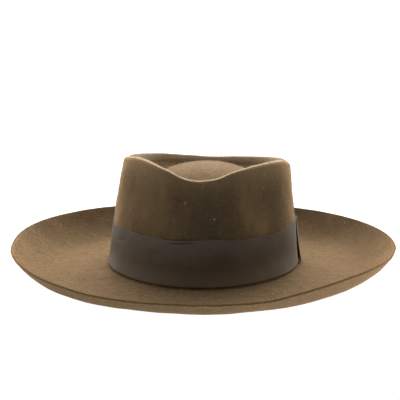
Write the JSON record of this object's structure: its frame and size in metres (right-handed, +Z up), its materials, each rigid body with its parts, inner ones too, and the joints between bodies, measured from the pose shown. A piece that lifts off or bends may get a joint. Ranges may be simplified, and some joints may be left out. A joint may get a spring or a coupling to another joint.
{
  "type": "felt fedora hat",
  "caption": "Wide-brimmed felt fedora with a telescope crown, front dip, upturned brim edge, plain grosgrain ribbon and flat side bow.",
  "frame": {"origin": "on the surface the hat rests on, under the middle of the brim", "axes": "+Z up, -Y the front, +X the wearer's left"},
  "size_m": [0.3549, 0.3869, 0.1148],
  "materials": {
    "felt": "brushed wool felt, matt, with a fine fuzz and mottled warm brown colour",
    "ribbon": "matt dark grey-brown grosgrain ribbon with fine upright ribs"
  },
  "bodies": {
    "root": {"felt_body": "felt", "ribbon_band": "ribbon", "bow_loops": "ribbon", "bow_knot": "ribbon"}
  },
  "joints": []
}
